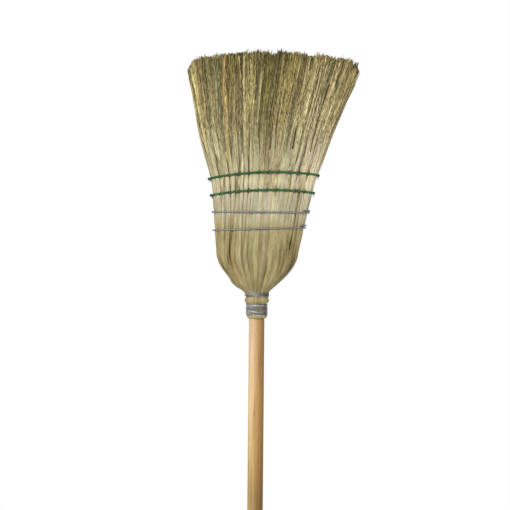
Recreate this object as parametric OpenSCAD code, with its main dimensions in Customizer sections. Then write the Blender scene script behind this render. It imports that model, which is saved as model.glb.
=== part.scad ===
// Wound corn broom with a round wooden handle, a wire-bound neck, two wire bands
// and two rows of twine stitching. Millimetres. The origin is the centre of the
// handle's flat butt, +Z runs up the handle to the bristle tips, and the broad
// faces of the head look along -Y and +Y.

/* [Handle] */
// Diameter of the round wooden handle
handle_d = 25.4; // [25:0.1:26]
// Length of handle that shows below the corn
handle_exposed = 984; // [700:1:1100]
// Length of handle that is buried in the corn
handle_buried = 156; // [140:1:165]
// Radius of the rounded rim at the butt
butt_round = 5; // [2:0.5:8]

/* [Neck] */
// Height of the bound neck
neck_h = 42; // [40:1:46]
// Diameter of the stalks under the lower winding
neck_d = 32; // [32:0.5:36]
// Diameter of the bare bulge between the two windings
bulge_d = 40.6; // [38:0.2:44]
// Diameter of the stalks under the upper winding
collar_d = 36; // [34:0.5:38]
// Diameter of the wire wound around the neck
neck_wire_d = 1.6; // [1.2:0.1:1.6]

/* [Head] */
// Height of the head, from the foot of the neck to the tips
head_h = 436; // [400:1:480]
// Height of the rounded shoulders above the neck
shoulder_h = 65; // [60:1:75]
// Width of the head across the shoulders
shoulder_w = 134; // [120:1:150]
// Width of the head at the stitching
stitched_w = 169; // [155:1:180]
// Width of the head at the tips
tip_w = 283; // [240:1:300]
// Thickness of the head at the shoulders
shoulder_t = 54; // [50:1:60]
// Thickness of the head at the stitching
stitched_t = 34; // [32:1:40]
// Thickness of the head at the tips
tip_t = 46; // [38:1:56]
// How far the tips lean to the right
tip_lean = 24.5; // [0:0.5:30]
// How far the tips fall from the middle of the head to its sides
tip_drop = 18; // [0:1:22]
// Extra rounding of the two corners at the tips
corner_drop = 14; // [0:1:20]

/* [Wire bands] */
// Diameter of the wire of the two bands
band_wire_d = 2.5; // [1.6:0.1:2.6]
// Height of the lower band above the foot of the neck
band_low_h = 145; // [140:1:150]
// Height of the upper band above the foot of the neck
band_high_h = 172; // [168:1:176]
// Height of the overlapping wire end over the band itself
band_overlap = 3.6; // [3:0.1:5]
// Rise of the lower band from the middle of the head to its right edge
band_low_rise = 2.6; // [0:0.1:3]

/* [Stitching] */
// Diameter of the twine that runs around the head
twine_d = 3; // [2:0.1:3]
// Diameter of the twine pulled through the head
stitch_d = 1.8; // [1.4:0.1:1.8]
// Height of the lower row above the foot of the neck
row_low_h = 208; // [204:1:212]
// Height of the upper row above the foot of the neck
row_high_h = 237; // [234:1:242]
// Rise of both rows from the middle of the head to its right edge
row_rise = 2.6; // [0:0.1:3]

/* [Hidden] */
$fn = 64;

// Heights, from the foot of the head to its tips
foot_z = handle_exposed;
lower_winding_top_z = foot_z + 22.5;
bulge_z = foot_z + 28;
collar_z = foot_z + 35;
neck_top_z = foot_z + neck_h;
thickest_z = neck_top_z + 40;
shoulder_z = neck_top_z + shoulder_h;
band_low_z = foot_z + band_low_h;
band_high_z = foot_z + band_high_h;
row_low_z = foot_z + row_low_h;
row_high_z = foot_z + row_high_h;
bend_z = row_high_z - 10;
tip_z = foot_z + head_h;

// The handle, its tapered inner end and the small holes in it
handle_r = handle_d / 2;
seat_relief = 0.25;
handle_seat_r = handle_r - seat_relief;
handle_seat_z = foot_z - 12;
handle_end_r = 9;
handle_end_z = foot_z + handle_buried;
handle_taper_h = 40;
handle_gap = 0.3;
nail_z = foot_z - 6;
nail_angle = 130;
nail_r = 0.8;
nail_l = 13;
nail_head_r = 2.4;
nail_head_h = 0.8;
nail_gap = 0.03;
nail_reach = handle_seat_r + neck_wire_d + 0.6;
wire_hole_d = neck_wire_d + 0.2;
wire_drop_h = 3.6;
wire_drop_end_h = 0.7;

// The zone above the neck where wire ties the inner corn to the handle
tie_foot_z = neck_top_z + 7;
tie_top_z = neck_top_z + 26;
tie_r = 16.2;
tie_side_x = 14.2;
tie_cavity_r = tie_r + neck_wire_d + 0.9;
tie_pitch = neck_wire_d + 0.25;
cavity_z = tie_foot_z - 3;
room_foot_z = tie_foot_z - 1;
spread_z = neck_top_z + 54;
wire_hole_z = tie_foot_z + 3;
wire_path_d = neck_wire_d + 0.4;

// Layers: the hurl covers a core of inner corn, and bundles meet at the stitches
bundle_count = 9;
edge_share = 0.84;
inside_bundles = 5;
bundle_share = 2 * edge_share / bundle_count;
inside_share = bundle_share * inside_bundles / 2;
core_t = 18;
core_tip_t = 22;
core_roundness = 2;
layer_gap = 1.2;
shoulder_fill = 0.985;
side_gap = 0.2;
notch_depth = 1.5;
notch_half_h = 7;
notch_ramp_h = 4;
tip_crown = 2.2;
tip_dome = 3;

// Steps around and along the lofted bundles and the swept wires
outer_steps = 4;
inner_steps = 2;
core_steps = 4;
edge_steps = 4;
turn_steps = 18;
wire_sides = 6;
band_sides = 8;
row_steps = 72;
wire_seat = 0.35;
band_seat = 0.5;
twine_seat = 0.85;

// The twine of one stitch: its tick over the row, and the legs above and below it
stitch_gap = 0.15;
tick_d = stitch_d * 1.25;
stitch_drop = (twine_d + stitch_d) / 2 + stitch_gap;
stitch_leg = 7;
stitch_hole_d = stitch_d + 0.6;

// Turns of the neck wire against height above the foot: a group on the collar,
// a crossing behind the bulge, two groups below it, and the run to the nail
neck_wire_route = [
    [0, 41.6], [3.5, 35.8], [4, 22.4], [7, 17.1], [7.5, 13], [12.5, 4.4], [12.85, -4.2]
];

corn_colour = "#c8ba90";
core_colour = "#b3a478";
wood_colour = "#d9ac7a";
wire_colour = "#8f8b86";
twine_colour = "#3d6b3f";

function mix(a, b, s) = a + (b - a) * s;

function ease(low, high, z) =
    let (s = min(1, max(0, (z - low) / (high - low))))
    s * s * (3 - 2 * s);

function sine_ease(low, high, z) = sin(90 * min(1, max(0, (z - low) / (high - low))));

// Half the height of a rounded section at x, for half width w, half thickness t
function section_y(x, w, t, n) = abs(x) >= w ? 0 : t * pow(1 - pow(abs(x) / w, n), 1 / n);

// --- Outer shape of the head ---

function neck_r(z) =
    let (bulged = mix(neck_d / 2, bulge_d / 2, ease(lower_winding_top_z, bulge_z, z)))
    mix(bulged, collar_d / 2, ease(bulge_z, collar_z, z));

function half_w(z) =
    z <= neck_top_z ? neck_r(z)
    : z <= shoulder_z ? mix(collar_d / 2, shoulder_w / 2, sine_ease(neck_top_z, shoulder_z, z))
    : z <= bend_z ? mix(shoulder_w, stitched_w, (z - shoulder_z) / (bend_z - shoulder_z)) / 2
    : mix(stitched_w, tip_w, (z - bend_z) / (tip_z - bend_z)) / 2;

function half_t(z) =
    z <= neck_top_z ? neck_r(z)
    : z <= thickest_z ? mix(collar_d / 2, shoulder_t / 2, sine_ease(neck_top_z, thickest_z, z))
    : mix(mix(shoulder_t, stitched_t, ease(thickest_z, row_low_z, z)),
          tip_t, ease(row_high_z, tip_z, z)) / 2;

// Exponent of the section: a circle at the neck, a flattened oval above it
function roundness(z) = mix(2, 2.7, ease(neck_top_z, shoulder_z, z));

function lean(z) = tip_lean * max(0, z - shoulder_z) / (tip_z - shoulder_z);

// How far a point falls below its level, at share u of the half width
function fall(u, z) =
    let (s = max(0, (z - band_high_z) / (tip_z - band_high_z)))
    tip_drop * (1 - pow(1 - s, 3)) * u * u + corner_drop * s * s * pow(u, 8);

function outer_y(x, z) = section_y(x, half_w(z), half_t(z), roundness(z));

function place(x, y, z) = [lean(z) + x, y, z - fall(x / half_w(z), z)];

// --- Inner layers ---

function core_w(z) =
    mix(tie_r, edge_share * half_w(z) - layer_gap, ease(tie_top_z, spread_z, z));

function core_half_t(z) =
    mix(mix(tie_r, core_t / 2, ease(spread_z, row_low_z, z)),
        core_tip_t / 2, ease(row_high_z, tip_z, z));

function core_y(x, z) = section_y(x, core_w(z), core_half_t(z), core_roundness);

// Where the middle part of the core ends, and where the shoulder part begins
function inside_x(z) =
    mix(tie_side_x, inside_share * half_w(z) - side_gap - notch(z), ease(tie_top_z, spread_z, z));

function shoulder_x(z) =
    mix(tie_side_x + layer_gap, inside_share * half_w(z) + side_gap + notch(z),
        ease(tie_top_z, spread_z, z));

// Inner face of the hurl: around the bare handle, around the tie, over the core
function lining_w(z) =
    z < cavity_z ? handle_r + layer_gap
    : mix(tie_cavity_r, edge_share * half_w(z), ease(tie_top_z, spread_z, z));

function lining_t(z) =
    z < cavity_z ? handle_r + layer_gap
    : mix(tie_cavity_r, core_half_t(z) + layer_gap, ease(tie_top_z, spread_z, z));

function lining_y(x, z) = section_y(x, lining_w(z), lining_t(z), roundness(z));

// The twine pulls the bundles apart where it goes through the head
function notch(z) =
    min(abs(z - row_low_z), abs(z - row_high_z)) <= notch_half_h ? notch_depth : 0;

function bound_x(i, z) = half_w(z) * (i * bundle_share - edge_share);

function crown(z) = tip_crown * max(0, z - row_high_z) / (tip_z - row_high_z);

// --- Levels of the lofts ---

neck_levels = [
    foot_z, lower_winding_top_z, lower_winding_top_z + 1.5, lower_winding_top_z + 3, bulge_z,
    mix(bulge_z, collar_z, 0.5), collar_z, neck_top_z
];
tie_levels = [cavity_z - 1, tie_foot_z];
shoulder_steps = 7;
shoulder_levels = [
    for (k = [2 : shoulder_steps]) mix(neck_top_z, shoulder_z, k / shoulder_steps)
];
row_offsets = [-notch_half_h - notch_ramp_h, -notch_half_h, notch_half_h, notch_half_h + notch_ramp_h];
fan_levels = concat(
    [band_low_z, band_high_z],
    [for (z = [row_low_z, row_high_z]) for (d = row_offsets) z + d]
);
tip_steps = 4;
tip_levels = [for (k = [1 : tip_steps]) mix(row_high_z + row_offsets[3], tip_z, k / tip_steps)];
hurl_levels = concat(neck_levels, tie_levels, shoulder_levels, fan_levels, tip_levels);
core_levels = concat([tie_foot_z], shoulder_levels, fan_levels, tip_levels);

// --- General solids ---

// Triangles around a stack of rings, closed by a fan at each end
module loft(rings, dome) {
    n = len(rings[0]);
    m = len(rings);
    first = sum_points(rings[0]) / n;
    last = sum_points(rings[m - 1]) / n + [0, 0, dome];
    points = concat([for (ring = rings) each ring], [first, last]);
    sides = [
        for (j = [0 : m - 2]) for (k = [0 : n - 1])
            let (a = j * n + k, b = j * n + (k + 1) % n)
            each [[a, a + n, b], [b, a + n, b + n]]
    ];
    foot_fan = [for (k = [0 : n - 1]) [k, (k + 1) % n, n * m]];
    tip_fan = [for (k = [0 : n - 1]) [(m - 1) * n + (k + 1) % n, (m - 1) * n + k, n * m + 1]];
    polyhedron(points, concat(sides, foot_fan, tip_fan), convexity = 10);
}

function sum_points(list, i = 0) =
    i == len(list) - 1 ? list[i] : list[i] + sum_points(list, i + 1);

function unit(v) = v / norm(v);

function tube_ring(p, along, r, sides) =
    let (side = unit(cross([0, 0, 1], along)), up = cross(along, side))
    [for (k = [0 : sides - 1]) p + r * (cos(360 * k / sides) * side + sin(360 * k / sides) * up)];

// A round tube with open ends that follows a path
module tube(path, d, sides) {
    last = len(path) - 1;
    loft([
        for (i = [0 : last])
            tube_ring(path[i], unit(path[min(i + 1, last)] - path[max(i - 1, 0)]), d / 2, sides)
    ], 0);
}

// A round tube that closes on itself
module ring_tube(path, d, sides) {
    n = len(path);
    points = [
        for (i = [0 : n - 1])
            each tube_ring(path[i], unit(path[(i + 1) % n] - path[(i + n - 1) % n]), d / 2, sides)
    ];
    faces = [
        for (i = [0 : n - 1]) for (k = [0 : sides - 1])
            let (next = (i + 1) % n, a = i * sides + k, b = i * sides + (k + 1) % sides,
                 c = next * sides + k, d = next * sides + (k + 1) % sides)
            each [[a, c, b], [b, c, d]]
    ];
    polyhedron(points, faces, convexity = 10);
}

// Signed power that turns a circle's coordinate into the rounded section's
function squared_off(c, z) = sign(c) * pow(abs(c), 2 / roundness(z));

// A point on the outside of the head at an angle around it, lifted off by a gap
function around(angle, z, gap) =
    place((half_w(z) + gap) * squared_off(cos(angle), z),
          (half_t(z) + gap) * squared_off(sin(angle), z), z);

// --- Corn ---

function bundle_ring(i, z) =
    let (x0 = bound_x(i, z) + side_gap + notch(z), x1 = bound_x(i + 1, z) - side_gap - notch(z))
    concat(
        [for (k = [0 : outer_steps])
            let (s = k / outer_steps, x = mix(x0, x1, s))
            place(x, -outer_y(x, z) - crown(z) * sin(180 * s), z)],
        [for (k = [0 : inner_steps])
            let (x = mix(x1, x0, k / inner_steps))
            place(x, -lining_y(x, z) - side_gap, z)]
    );

// One bunch of the outer layer on the front face, from neck to tips
module hurl_bundle(i) {
    loft([for (z = hurl_levels) bundle_ring(i, z)], tip_dome);
}

module hurl_front(i) {
    color(corn_colour) hurl_bundle(i);
}

module hurl_back(i) {
    color(corn_colour) mirror([0, 1, 0]) hurl_bundle(i);
}

function edge_ring(z) =
    let (w = half_w(z), t = half_t(z), n = roundness(z),
         x0 = edge_share * w + side_gap + notch(z), top = acos(pow(x0 / w, n / 2)))
    [for (k = [-edge_steps : edge_steps])
        let (a = top * k / edge_steps)
        [w * pow(cos(a), 2 / n), sign(a) * t * pow(abs(sin(a)), 2 / n), z]];

// The bunch that wraps around one side edge of the head
module hurl_edge(side) {
    rings = [
        for (z = hurl_levels)
            [for (p = edge_ring(z)) place(side * p[0], side * p[1], p[2])]
    ];
    color(corn_colour) loft(rings, tip_dome);
}

// A slice through the core between two offsets from the head's middle line
function core_ring(x0, x1, z) =
    concat(
        [for (k = [0 : core_steps]) let (x = mix(x0, x1, k / core_steps)) place(x, -core_y(x, z), z)],
        [for (k = [0 : core_steps]) let (x = mix(x1, x0, k / core_steps)) place(x, core_y(x, z), z)]
    );

// Room for the handle and its taper
module handle_room() {
    rotate_extrude() {
        polygon([
            [0, room_foot_z],
            [handle_r + handle_gap, room_foot_z],
            [handle_r + handle_gap, handle_end_z - handle_taper_h],
            [handle_end_r + handle_gap, handle_end_z + handle_gap],
            [0, handle_end_z + handle_gap]
        ]);
    }
}

// Holes where the twine of both rows passes through between first and last
module stitch_holes(first, last) {
    for (z = [row_low_z, row_high_z]) {
        for (i = [first : last]) {
            translate(stitch_point(i, z) - [0, 0, stitch_drop]) {
                rotate([90, 0, 0]) cylinder(d = stitch_hole_d, h = 2 * core_t, center = true);
            }
        }
    }
}

// The stalks tied straight onto the handle, which fill the middle of the head
module inside_corn() {
    color(core_colour) {
        difference() {
            loft([for (z = core_levels) core_ring(-inside_x(z), inside_x(z), z)], tip_dome);
            handle_room();
            stitch_holes(3, 6);
            translate([0, -handle_r, wire_hole_z]) {
                rotate([90, 0, 0]) cylinder(d = wire_path_d, h = handle_r, center = true);
            }
        }
    }
}

// The stalks tied to one side of the handle, which carry the shoulder
module shoulder_corn(side, first_stitch) {
    color(core_colour) {
        difference() {
            loft([
                for (z = core_levels)
                    let (inner = shoulder_x(z), outer = shoulder_fill * core_w(z))
                    side > 0 ? core_ring(inner, outer, z) : core_ring(-outer, -inner, z)
            ], tip_dome);
            stitch_holes(first_stitch, first_stitch);
        }
    }
}

// --- Handle ---

// The profile of the handle: rounded butt, bare dowel, slimmer seat, taper
module handle_profile() {
    taper_z = handle_end_z - handle_taper_h;
    square([handle_r - butt_round, butt_round]);
    intersection() {
        translate([handle_r - butt_round, butt_round]) circle(butt_round);
        square([handle_r, 2 * butt_round]);
    }
    translate([0, butt_round]) square([handle_r, handle_seat_z - butt_round]);
    polygon([
        [0, handle_seat_z], [handle_seat_r, handle_seat_z], [handle_seat_r, taper_z],
        [handle_end_r, handle_end_z], [0, handle_end_z]
    ]);
}

module handle() {
    color(wood_colour) {
        difference() {
            rotate_extrude() handle_profile();
            translate([0, 0, wire_hole_z]) {
                rotate([90, 0, 0]) cylinder(d = wire_hole_d, h = 3 * handle_r, center = true);
            }
            nail_place() cylinder(r = nail_r + nail_gap, h = nail_l - neck_wire_d);
        }
    }
}

// --- Wire ---

// Axes of the nail: the origin on the tip, +Z out along the shank
module nail_place() {
    rotate([0, 0, nail_angle]) {
        translate([nail_reach - nail_l, 0, nail_z]) rotate([0, 90, 0]) children();
    }
}

module wire_nail() {
    color(wire_colour) {
        nail_place() {
            cylinder(r = nail_r, h = nail_l);
            translate([0, 0, nail_l]) cylinder(r = nail_head_r, h = nail_head_h);
        }
    }
}

// Wire tight around the stalks at height z; below the foot it drops to the handle
function wound_r(z) =
    let (on_stalks = ease(foot_z - wire_drop_h, foot_z - wire_drop_end_h, z))
    mix(handle_seat_r, neck_r(z), on_stalks) + neck_wire_d / 2 + wire_seat;

module neck_wire() {
    last = len(neck_wire_route) - 1;
    steps = round(neck_wire_route[last][0] * turn_steps);
    path = [
        for (k = [0 : steps])
            let (turn = k / turn_steps, z = foot_z + lookup(turn, neck_wire_route),
                 a = 360 * turn + 180, r = wound_r(z))
            [r * cos(a), r * sin(a), z]
    ];
    color(wire_colour) tube(path, neck_wire_d, wire_sides);
}

// The wire that starts in the handle's cross hole and ties the inner corn on
module binding_wire() {
    turns = floor((tie_top_z - wire_hole_z) / tie_pitch);
    r = tie_r + neck_wire_d / 2 + wire_seat;
    bend = neck_wire_d;
    start = [[0, handle_end_r, wire_hole_z], [0, 0, wire_hole_z]];
    turned = [
        for (a = [180 : 22.5 : 270])
            [bend + bend * cos(a), bend - r + bend * sin(a), wire_hole_z]
    ];
    coil = [
        for (k = [1 : turns * turn_steps])
            let (a = 360 * k / turn_steps - 90)
            [r * cos(a), r * sin(a), wire_hole_z + tie_pitch * k / turn_steps]
    ];
    color(wire_colour) tube(concat(start, turned, coil), neck_wire_d, wire_sides);
}

// One turn of wire around the head with overlapping ends at the right edge
module wire_band(z, rise) {
    overlap_angle = 30;
    step_angle = 6;
    path = [
        for (a = [-overlap_angle : step_angle : 360 + overlap_angle])
            let (lift = band_overlap * (1 - ease(overlap_angle, 180 - overlap_angle, a)))
            around(a, z + lift + rise * squared_off(cos(a), z), band_wire_d / 2 + band_seat)
    ];
    color(wire_colour) tube(path, band_wire_d, band_sides);
}

// --- Twine ---

// How much a row rises at an offset from the head's middle line
function row_lift(x, z) = row_rise * x / half_w(z);

function stitch_point(i, z) = place(bound_x(i, z), 0, z) + [0, 0, row_lift(bound_x(i, z), z)];

// One stitch: twine through the head under the row, up over it and back in,
// drawn as a thicker tick across the row on both faces
module stitch(i, z) {
    y = outer_y(bound_x(i, z), z) + twine_seat + twine_d + tick_d / 2 + stitch_gap;
    translate(stitch_point(i, z)) {
        translate([0, 0, -stitch_drop]) rotate([90, 0, 0]) cylinder(d = stitch_d, h = 2 * y, center = true);
        for (side = [-1, 1]) {
            translate([0, side * y, 0]) cylinder(d = tick_d, h = 2 * stitch_drop + tick_d, center = true);
            translate([0, side * (y - stitch_leg / 2), stitch_drop]) {
                rotate([90, 0, 0]) cylinder(d = stitch_d, h = stitch_leg, center = true);
            }
        }
    }
}

module stitch_row(z) {
    path = [
        for (k = [0 : row_steps - 1])
            let (a = 360 * k / row_steps, u = squared_off(cos(a), z))
            around(a, z, twine_d / 2 + twine_seat) + [0, 0, row_rise * u]
    ];
    color(twine_colour) {
        ring_tube(path, twine_d, band_sides);
        for (i = [0 : bundle_count]) stitch(i, z);
    }
}

handle();
inside_corn();
shoulder_corn(-1, 1);  // shoulder_corn_left
shoulder_corn(1, 8);  // shoulder_corn_right
binding_wire();
hurl_edge(-1);  // hurl_left
hurl_edge(1);  // hurl_right
hurl_front(0);  // hurl_front_1
hurl_front(1);  // hurl_front_2
hurl_front(2);  // hurl_front_3
hurl_front(3);  // hurl_front_4
hurl_front(4);  // hurl_front_5
hurl_front(5);  // hurl_front_6
hurl_front(6);  // hurl_front_7
hurl_front(7);  // hurl_front_8
hurl_front(8);  // hurl_front_9
hurl_back(0);  // hurl_back_1
hurl_back(1);  // hurl_back_2
hurl_back(2);  // hurl_back_3
hurl_back(3);  // hurl_back_4
hurl_back(4);  // hurl_back_5
hurl_back(5);  // hurl_back_6
hurl_back(6);  // hurl_back_7
hurl_back(7);  // hurl_back_8
hurl_back(8);  // hurl_back_9
neck_wire();
wire_nail();
wire_band(band_low_z, band_low_rise);  // wire_band_lower
wire_band(band_high_z, 0);  // wire_band_upper
stitch_row(row_low_z);  // stitch_row_lower
stitch_row(row_high_z);  // stitch_row_upper
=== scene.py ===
import math

import bpy
import numpy as np
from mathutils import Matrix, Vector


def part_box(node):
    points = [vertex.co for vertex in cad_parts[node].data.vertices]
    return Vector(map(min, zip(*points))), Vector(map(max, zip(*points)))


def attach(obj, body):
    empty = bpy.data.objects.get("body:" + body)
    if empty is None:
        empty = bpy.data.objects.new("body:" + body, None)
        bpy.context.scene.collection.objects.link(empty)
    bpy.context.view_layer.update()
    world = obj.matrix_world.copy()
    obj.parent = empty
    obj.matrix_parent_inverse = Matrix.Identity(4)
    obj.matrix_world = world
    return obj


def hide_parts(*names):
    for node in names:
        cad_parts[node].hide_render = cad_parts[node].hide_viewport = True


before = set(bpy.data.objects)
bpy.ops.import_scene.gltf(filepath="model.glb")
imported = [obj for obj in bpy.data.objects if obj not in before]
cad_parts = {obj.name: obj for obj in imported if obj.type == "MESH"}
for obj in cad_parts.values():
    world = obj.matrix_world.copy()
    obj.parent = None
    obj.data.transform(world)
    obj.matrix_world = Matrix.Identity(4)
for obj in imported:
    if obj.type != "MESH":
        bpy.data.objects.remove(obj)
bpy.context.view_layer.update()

# A wound corn broom: thousands of separate stalks and fibres on a wooden handle, with a
# wound neck, two wire bands and two rows of twine. Lengths are in millimetres until a
# mesh is made. The head's shape functions are the CAD's own, above the foot of the head.

MM = 0.001
rng = np.random.default_rng(20)


def corner(node, end, axis):
    """One coordinate of a CAD node's box, in millimetres: end 0 is low, 1 is high."""
    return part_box(node)[end]["xyz".index(axis)] / MM


# --- Sizes ---

HANDLE_R = corner("handle", 1, "x")
HANDLE_TOP_Z = corner("handle", 1, "z")
BUTT_ROUND = 5
HANDLE_TAPER_H = 40
HANDLE_END_R = 9

FOOT_Z = corner("hurl_left", 0, "z")
TIP_DOME = 3
TIP_Z = corner("hurl_front_5", 1, "z") - TIP_DOME
LOWER_WINDING_TOP_Z = FOOT_Z + 22.5
BULGE_Z = FOOT_Z + 28
COLLAR_Z = FOOT_Z + 35
NECK_TOP_Z = FOOT_Z + 42
THICKEST_Z = NECK_TOP_Z + 40
SHOULDER_Z = NECK_TOP_Z + 65
BAND_LOW_Z = FOOT_Z + 145
BAND_HIGH_Z = FOOT_Z + 172
ROW_LOW_Z = FOOT_Z + 208
ROW_HIGH_Z = FOOT_Z + 237
BEND_Z = ROW_HIGH_Z - 10

NECK_R, BULGE_R, COLLAR_R = 16, 20.3, 18
SHOULDER_W, STITCHED_W, TIP_W = 134, 169, 283
SHOULDER_T, STITCHED_T, TIP_T = 54, 34, 46
NECK_ROUNDNESS, HEAD_ROUNDNESS = 2, 2.7
TIP_LEAN, TIP_DROP = 24.5, 14
TIP_SWAY, SWAY_AT, SWAY_SPAN = 2.6, 0.63, 0.16
CORNER_DROP, CORNER_POWER = 17, 24

NECK_WIRE_R = 0.88
BAND_WIRE_R = 1.35
BAND_OVERLAP = 3.6
BAND_LOW_RISE = 2.6
TWINE_R = 1.75
ROW_LOW_RISE, ROW_HIGH_RISE = 2.6, 3.6
ROW_LOW_BOW, ROW_HIGH_BOW = -1.3, 1.0

# The corn bulges out on the left, just above the neck
LEFT_BULGE = 6.5
LEFT_BULGE_Z = NECK_TOP_Z + 12
LEFT_BULGE_H = 9

BUNDLES = 9
EDGE_SHARE = 0.84
INSIDE_BUNDLES = 5
INSIDE_SHARE = EDGE_SHARE * INSIDE_BUNDLES / BUNDLES


# --- Shape of the head ---

def mix(a, b, s):
    return a + (b - a) * s


def ease(low, high, z):
    s = np.clip((z - low) / (high - low), 0, 1)
    return s * s * (3 - 2 * s)


def sine_ease(low, high, z):
    return np.sin(np.pi / 2 * np.clip((z - low) / (high - low), 0, 1))


def bell(distance, width):
    return np.exp(-(distance / width) ** 2)


def neck_r(z):
    bulged = mix(NECK_R, BULGE_R, ease(LOWER_WINDING_TOP_Z, BULGE_Z, z))
    return mix(bulged, COLLAR_R, ease(BULGE_Z, COLLAR_Z, z))


def half_w(z):
    shoulder = mix(COLLAR_R, SHOULDER_W / 2, sine_ease(NECK_TOP_Z, SHOULDER_Z, z))
    widths = (SHOULDER_W / 2, STITCHED_W / 2, TIP_W / 2)
    above = np.interp(z, (SHOULDER_Z, BEND_Z, TIP_Z), widths)
    return np.where(z <= NECK_TOP_Z, neck_r(z), np.where(z <= SHOULDER_Z, shoulder, above))


def half_t(z):
    shoulder = mix(COLLAR_R, SHOULDER_T / 2, sine_ease(NECK_TOP_Z, THICKEST_Z, z))
    stitched = mix(SHOULDER_T, STITCHED_T, ease(THICKEST_Z, ROW_LOW_Z, z))
    above = mix(stitched, TIP_T, ease(ROW_HIGH_Z, TIP_Z, z)) / 2
    return np.where(z <= NECK_TOP_Z, neck_r(z), np.where(z <= THICKEST_Z, shoulder, above))


def roundness(z):
    """Exponent of the section: a circle at the neck, a flattened oval above it."""
    return mix(NECK_ROUNDNESS, HEAD_ROUNDNESS, ease(NECK_TOP_Z, SHOULDER_Z, z))


def lean(z):
    s = np.maximum(0, z - SHOULDER_Z) / (TIP_Z - SHOULDER_Z)
    return TIP_LEAN * s - TIP_SWAY * bell(s - SWAY_AT, SWAY_SPAN)


def fall(u, z):
    """How far a point falls below its level, at share u of the half width."""
    s = np.maximum(0, (z - BAND_HIGH_Z) / (TIP_Z - BAND_HIGH_Z))
    sides = TIP_DROP * (1 - (1 - np.minimum(s, 1)) ** 3) * u * u
    return sides + CORNER_DROP * s * s * u ** CORNER_POWER


def leaned(x, y, z):
    """Points of the upright head, moved to where it leans and droops."""
    return np.stack([x + lean(z), y, z - fall(np.minimum(np.abs(x) / half_w(z), 1), z)], -1)


def outline_tables(heights, corners=129, samples=600):
    """Angle against share of a quarter of the outline, and the outline's length, by height."""
    a = np.linspace(0, np.pi / 2, samples)
    angles, lengths = [], []
    for z in heights:
        p = 2 / roundness(z)
        x, y = half_w(z) * np.cos(a) ** p, half_t(z) * np.sin(a) ** p
        run = np.concatenate([[0], np.cumsum(np.hypot(np.diff(x), np.diff(y)))])
        angles.append(np.interp(np.linspace(0, run[-1], corners), run, a))
        lengths.append(4 * run[-1])
    return np.array(angles), np.array(lengths)


LEVEL_MARGIN = 10
LEVELS = np.linspace(FOOT_Z - LEVEL_MARGIN, TIP_Z + LEVEL_MARGIN, 220)
ANGLES, LENGTHS = outline_tables(LEVELS)


def girth(z):
    return np.interp(z, LEVELS, LENGTHS)


def angle_at(q, z):
    """Angle from the wide axis at share q of a quarter of the outline, at height z."""
    row = np.clip((z - LEVELS[0]) / (LEVELS[1] - LEVELS[0]), 0, len(LEVELS) - 1.001)
    col = np.clip(q * (ANGLES.shape[1] - 1), 0, ANGLES.shape[1] - 1.001)
    i, j = row.astype(int), col.astype(int)
    low = mix(ANGLES[i, j], ANGLES[i, j + 1], col - j)
    high = mix(ANGLES[i + 1, j], ANGLES[i + 1, j + 1], col - j)
    return mix(low, high, row - i)


def on_head(share, depth, z):
    """Points at a share of the outline, from the left edge over the front to the right edge
    and back behind, and at a depth under the surface."""
    share, depth, z = np.broadcast_arrays(share, depth, z)
    share = np.mod(share, 1)
    half = np.mod(share, 0.5)
    front = share < 0.5
    side_x = np.where(half < 0.25, -1, 1) * np.where(front, 1, -1)
    side_y = np.where(front, -1, 1)
    a = angle_at(4 * np.minimum(half, 0.5 - half), z)
    p = 2 / roundness(z)
    w, t = half_w(z), half_t(z)
    x = side_x * np.maximum(w - depth, 0) * np.cos(a) ** p
    x = x - LEFT_BULGE * np.maximum(-x / w, 0) ** 2 * bell(z - LEFT_BULGE_Z, LEFT_BULGE_H)
    y = side_y * np.maximum(t - depth, 0) * np.sin(a) ** p
    return leaned(x, y, z)


def share_at(u, z):
    """Share of the outline on the front at offset u of the half width."""
    q = np.interp(np.arccos(abs(u) ** (roundness(z) / 2)),
                  ANGLES[int((z - LEVELS[0]) / (LEVELS[1] - LEVELS[0]))],
                  np.linspace(0, 1, ANGLES.shape[1]))
    return q / 4 if u < 0 else 0.5 - q / 4


STITCH_SHARES = [share_at(EDGE_SHARE * (2 * i / BUNDLES - 1), ROW_HIGH_Z)
                 for i in range(BUNDLES + 1)]
BOUNDS = np.array(STITCH_SHARES + [1 - s for s in reversed(STITCH_SHARES)])
BUNDLE_NODES = (["hurl_left"] + [f"hurl_front_{i + 1}" for i in range(BUNDLES)] + ["hurl_right"]
                + [f"hurl_back_{i}" for i in range(BUNDLES, 0, -1)] + ["hurl_left"])


# --- Meshes ---

COLUMNS_TO_SHELVES = 60
COLUMN_GAP, SHELF_GAP = 0.15, 0.02


def unit(v):
    return v / np.maximum(np.linalg.norm(v, axis=-1, keepdims=True), 1e-9)


def add_object(name, data):
    thing = bpy.data.objects.new(name, data)
    bpy.context.scene.collection.objects.link(thing)
    return thing


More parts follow.
